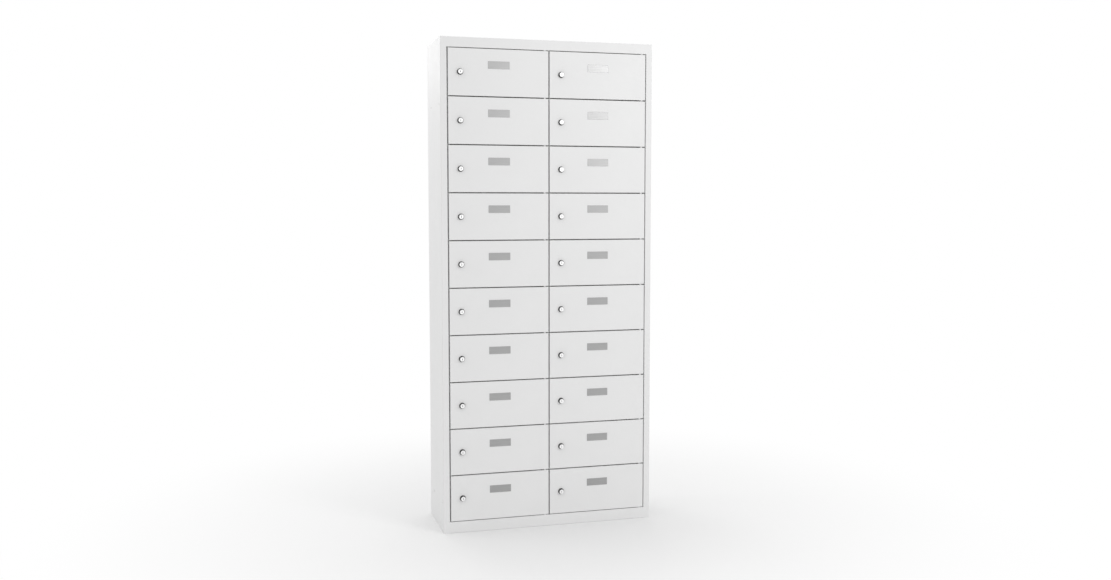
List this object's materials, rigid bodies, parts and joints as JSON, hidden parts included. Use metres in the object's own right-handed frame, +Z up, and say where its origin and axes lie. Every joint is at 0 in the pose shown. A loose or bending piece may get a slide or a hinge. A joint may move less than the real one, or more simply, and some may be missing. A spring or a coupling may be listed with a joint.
{
  "type": "compartment cabinet",
  "caption": "Tall white steel cabinet with columns of small inset doors on pivot hinges, each with a cam lock and a label plate.",
  "frame": {"origin": "on the floor, at the middle of the box round the whole cabinet", "axes": "+Z up, +X to the right seen from the front, +Y to the back; the doors face -Y"},
  "size_m": [0.8, 0.295, 1.8],
  "materials": {
    "white_powder_coat": "satin white powder coat on sheet steel",
    "white_door_coat": "satin white powder coat on sheet steel",
    "bright_lock_plug": "polished nickel plate",
    "dark_nickel_lock_head": "dark nickel plate with a bright rim",
    "zinc_plated_steel": "bright zinc plate",
    "label_aluminium": "fine satin anodised",
    "aluminium_rivet": "plain",
    "white_nylon": "matt",
    "black_rubber": "matt"
  },
  "bodies": {
    "case": {"side_panel_left": "white_powder_coat", "side_panel_right": "white_powder_coat", "top_panel": "white_powder_coat", "bottom_panel": "white_powder_coat", "back_panel": "white_powder_coat", "centre_partition": "white_powder_coat", "left_strike": "white_powder_coat", "centre_strike": "white_powder_coat", "shelves_left_column": "white_powder_coat", "shelves_right_column": "white_powder_coat", "hinge_lugs": "white_powder_coat", "hinge_pins": "zinc_plated_steel", "hinge_washers": "white_nylon", "door_buffers": "black_rubber", "back_rivets": "aluminium_rivet"},
    "door_left_01": {"door_left_01": "white_door_coat"},
    "lock_cam_left_01": {"lock_cam_left_01": "bright_lock_plug"},
    "door_left_02": {"door_left_02": "white_door_coat"},
    "lock_cam_left_02": {"lock_cam_left_02": "bright_lock_plug"},
    "door_left_03": {"door_left_03": "white_door_coat"},
    "lock_cam_left_03": {"lock_cam_left_03": "bright_lock_plug"},
    "door_left_04": {"door_left_04": "white_door_coat"},
    "lock_cam_left_04": {"lock_cam_left_04": "bright_lock_plug"},
    "door_left_05": {"door_left_05": "white_door_coat"},
    "lock_cam_left_05": {"lock_cam_left_05": "bright_lock_plug"},
    "door_left_06": {"door_left_06": "white_door_coat"},
    "lock_cam_left_06": {"lock_cam_left_06": "bright_lock_plug"},
    "door_left_07": {"door_left_07": "white_door_coat"},
    "lock_cam_left_07": {"lock_cam_left_07": "bright_lock_plug"},
    "door_left_08": {"door_left_08": "white_door_coat"},
    "lock_cam_left_08": {"lock_cam_left_08": "bright_lock_plug"},
    "door_left_09": {"door_left_09": "white_door_coat"},
    "lock_cam_left_09": {"lock_cam_left_09": "bright_lock_plug"},
    "door_left_10": {"door_left_10": "white_door_coat"},
    "lock_cam_left_10": {"lock_cam_left_10": "bright_lock_plug"},
    "door_right_01": {"door_right_01": "white_door_coat"},
    "lock_cam_right_01": {"lock_cam_right_01": "bright_lock_plug"},
    "door_right_02": {"door_right_02": "white_door_coat"},
    "lock_cam_right_02": {"lock_cam_right_02": "bright_lock_plug"},
    "door_right_03": {"door_right_03": "white_door_coat"},
    "lock_cam_right_03": {"lock_cam_right_03": "bright_lock_plug"},
    "door_right_04": {"door_right_04": "white_door_coat"},
    "lock_cam_right_04": {"lock_cam_right_04": "bright_lock_plug"},
    "door_right_05": {"door_right_05": "white_door_coat"},
    "lock_cam_right_05": {"lock_cam_right_05": "bright_lock_plug"},
    "door_right_06": {"door_right_06": "white_door_coat"},
    "lock_cam_right_06": {"lock_cam_right_06": "bright_lock_plug"},
    "door_right_07": {"door_right_07": "white_door_coat"},
    "lock_cam_right_07": {"lock_cam_right_07": "bright_lock_plug"},
    "door_right_08": {"door_right_08": "white_door_coat"},
    "lock_cam_right_08": {"lock_cam_right_08": "bright_lock_plug"},
    "door_right_09": {"door_right_09": "white_door_coat"},
    "lock_cam_right_09": {"lock_cam_right_09": "bright_lock_plug"},
    "door_right_10": {"door_right_10": "white_door_coat"},
    "lock_cam_right_10": {"lock_cam_right_10": "bright_lock_plug"}
  },
  "joints": [
    {"name": "door_left_01_hinge", "type": "hinge", "parent": "case", "child": "door_left_01", "pos_m": [-0.0151, -0.133, 1.67685], "axis": [0, 0, 1], "range_deg": [0, 110]},
    {"name": "lock_left_01_turn", "type": "hinge", "parent": "door_left_01", "child": "lock_cam_left_01", "pos_m": [-0.3288, -0.1375, 1.67685], "axis": [0, 1, 0], "range_deg": [0, 90]},
    {"name": "door_left_02_hinge", "type": "hinge", "parent": "case", "child": "door_left_02", "pos_m": [-0.0151, -0.133, 1.50475], "axis": [0, 0, 1], "range_deg": [0, 110]},
    {"name": "lock_left_02_turn", "type": "hinge", "parent": "door_left_02", "child": "lock_cam_left_02", "pos_m": [-0.3288, -0.1375, 1.50475], "axis": [0, 1, 0], "range_deg": [0, 90]},
    {"name": "door_left_03_hinge", "type": "hinge", "parent": "case", "child": "door_left_03", "pos_m": [-0.0151, -0.133, 1.33265], "axis": [0, 0, 1], "range_deg": [0, 110]},
    {"name": "lock_left_03_turn", "type": "hinge", "parent": "door_left_03", "child": "lock_cam_left_03", "pos_m": [-0.3288, -0.1375, 1.33265], "axis": [0, 1, 0], "range_deg": [0, 90]},
    {"name": "door_left_04_hinge", "type": "hinge", "parent": "case", "child": "door_left_04", "pos_m": [-0.0151, -0.133, 1.16055], "axis": [0, 0, 1], "range_deg": [0, 110]},
    {"name": "lock_left_04_turn", "type": "hinge", "parent": "door_left_04", "child": "lock_cam_left_04", "pos_m": [-0.3288, -0.1375, 1.16055], "axis": [0, 1, 0], "range_deg": [0, 90]},
    {"name": "door_left_05_hinge", "type": "hinge", "parent": "case", "child": "door_left_05", "pos_m": [-0.0151, -0.133, 0.98845], "axis": [0, 0, 1], "range_deg": [0, 110]},
    {"name": "lock_left_05_turn", "type": "hinge", "parent": "door_left_05", "child": "lock_cam_left_05", "pos_m": [-0.3288, -0.1375, 0.98845], "axis": [0, 1, 0], "range_deg": [0, 90]},
    {"name": "door_left_06_hinge", "type": "hinge", "parent": "case", "child": "door_left_06", "pos_m": [-0.0151, -0.133, 0.81635], "axis": [0, 0, 1], "range_deg": [0, 110]},
    {"name": "lock_left_06_turn", "type": "hinge", "parent": "door_left_06", "child": "lock_cam_left_06", "pos_m": [-0.3288, -0.1375, 0.81635], "axis": [0, 1, 0], "range_deg": [0, 90]},
    {"name": "door_left_07_hinge", "type": "hinge", "parent": "case", "child": "door_left_07", "pos_m": [-0.0151, -0.133, 0.64425], "axis": [0, 0, 1], "range_deg": [0, 110]},
    {"name": "lock_left_07_turn", "type": "hinge", "parent": "door_left_07", "child": "lock_cam_left_07", "pos_m": [-0.3288, -0.1375, 0.64425], "axis": [0, 1, 0], "range_deg": [0, 90]},
    {"name": "door_left_08_hinge", "type": "hinge", "parent": "case", "child": "door_left_08", "pos_m": [-0.0151, -0.133, 0.47215], "axis": [0, 0, 1], "range_deg": [0, 110]},
    {"name": "lock_left_08_turn", "type": "hinge", "parent": "door_left_08", "child": "lock_cam_left_08", "pos_m": [-0.3288, -0.1375, 0.47215], "axis": [0, 1, 0], "range_deg": [0, 90]},
    {"name": "door_left_09_hinge", "type": "hinge", "parent": "case", "child": "door_left_09", "pos_m": [-0.0151, -0.133, 0.30005], "axis": [0, 0, 1], "range_deg": [0, 110]},
    {"name": "lock_left_09_turn", "type": "hinge", "parent": "door_left_09", "child": "lock_cam_left_09", "pos_m": [-0.3288, -0.1375, 0.30005], "axis": [0, 1, 0], "range_deg": [0, 90]},
    {"name": "door_left_10_hinge", "type": "hinge", "parent": "case", "child": "door_left_10", "pos_m": [-0.0151, -0.133, 0.12795], "axis": [0, 0, 1], "range_deg": [0, 110]},
    {"name": "lock_left_10_turn", "type": "hinge", "parent": "door_left_10", "child": "lock_cam_left_10", "pos_m": [-0.3288, -0.1375, 0.12795], "axis": [0, 1, 0], "range_deg": [0, 90]},
    {"name": "door_right_01_hinge", "type": "hinge", "parent": "case", "child": "door_right_01", "pos_m": [0.3603, -0.133, 1.67685], "axis": [0, 0, 1], "range_deg": [0, 110]},
    {"name": "lock_right_01_turn", "type": "hinge", "parent": "door_right_01", "child": "lock_cam_right_01", "pos_m": [0.0466, -0.1375, 1.67685], "axis": [0, 1, 0], "range_deg": [0, 90]},
    {"name": "door_right_02_hinge", "type": "hinge", "parent": "case", "child": "door_right_02", "pos_m": [0.3603, -0.133, 1.50475], "axis": [0, 0, 1], "range_deg": [0, 110]},
    {"name": "lock_right_02_turn", "type": "hinge", "parent": "door_right_02", "child": "lock_cam_right_02", "pos_m": [0.0466, -0.1375, 1.50475], "axis": [0, 1, 0], "range_deg": [0, 90]},
    {"name": "door_right_03_hinge", "type": "hinge", "parent": "case", "child": "door_right_03", "pos_m": [0.3603, -0.133, 1.33265], "axis": [0, 0, 1], "range_deg": [0, 110]},
    {"name": "lock_right_03_turn", "type": "hinge", "parent": "door_right_03", "child": "lock_cam_right_03", "pos_m": [0.0466, -0.1375, 1.33265], "axis": [0, 1, 0], "range_deg": [0, 90]},
    {"name": "door_right_04_hinge", "type": "hinge", "parent": "case", "child": "door_right_04", "pos_m": [0.3603, -0.133, 1.16055], "axis": [0, 0, 1], "range_deg": [0, 110]},
    {"name": "lock_right_04_turn", "type": "hinge", "parent": "door_right_04", "child": "lock_cam_right_04", "pos_m": [0.0466, -0.1375, 1.16055], "axis": [0, 1, 0], "range_deg": [0, 90]},
    {"name": "door_right_05_hinge", "type": "hinge", "parent": "case", "child": "door_right_05", "pos_m": [0.3603, -0.133, 0.98845], "axis": [0, 0, 1], "range_deg": [0, 110]},
    {"name": "lock_right_05_turn", "type": "hinge", "parent": "door_right_05", "child": "lock_cam_right_05", "pos_m": [0.0466, -0.1375, 0.98845], "axis": [0, 1, 0], "range_deg": [0, 90]},
    {"name": "door_right_06_hinge", "type": "hinge", "parent": "case", "child": "door_right_06", "pos_m": [0.3603, -0.133, 0.81635], "axis": [0, 0, 1], "range_deg": [0, 110]},
    {"name": "lock_right_06_turn", "type": "hinge", "parent": "door_right_06", "child": "lock_cam_right_06", "pos_m": [0.0466, -0.1375, 0.81635], "axis": [0, 1, 0], "range_deg": [0, 90]},
    {"name": "door_right_07_hinge", "type": "hinge", "parent": "case", "child": "door_right_07", "pos_m": [0.3603, -0.133, 0.64425], "axis": [0, 0, 1], "range_deg": [0, 110]},
    {"name": "lock_right_07_turn", "type": "hinge", "parent": "door_right_07", "child": "lock_cam_right_07", "pos_m": [0.0466, -0.1375, 0.64425], "axis": [0, 1, 0], "range_deg": [0, 90]},
    {"name": "door_right_08_hinge", "type": "hinge", "parent": "case", "child": "door_right_08", "pos_m": [0.3603, -0.133, 0.47215], "axis": [0, 0, 1], "range_deg": [0, 110]},
    {"name": "lock_right_08_turn", "type": "hinge", "parent": "door_right_08", "child": "lock_cam_right_08", "pos_m": [0.0466, -0.1375, 0.47215], "axis": [0, 1, 0], "range_deg": [0, 90]},
    {"name": "door_right_09_hinge", "type": "hinge", "parent": "case", "child": "door_right_09", "pos_m": [0.3603, -0.133, 0.30005], "axis": [0, 0, 1], "range_deg": [0, 110]},
    {"name": "lock_right_09_turn", "type": "hinge", "parent": "door_right_09", "child": "lock_cam_right_09", "pos_m": [0.0466, -0.1375, 0.30005], "axis": [0, 1, 0], "range_deg": [0, 90]},
    {"name": "door_right_10_hinge", "type": "hinge", "parent": "case", "child": "door_right_10", "pos_m": [0.3603, -0.133, 0.12795], "axis": [0, 0, 1], "range_deg": [0, 110]},
    {"name": "lock_right_10_turn", "type": "hinge", "parent": "door_right_10", "child": "lock_cam_right_10", "pos_m": [0.0466, -0.1375, 0.12795], "axis": [0, 1, 0], "range_deg": [0, 90]}
  ]
}
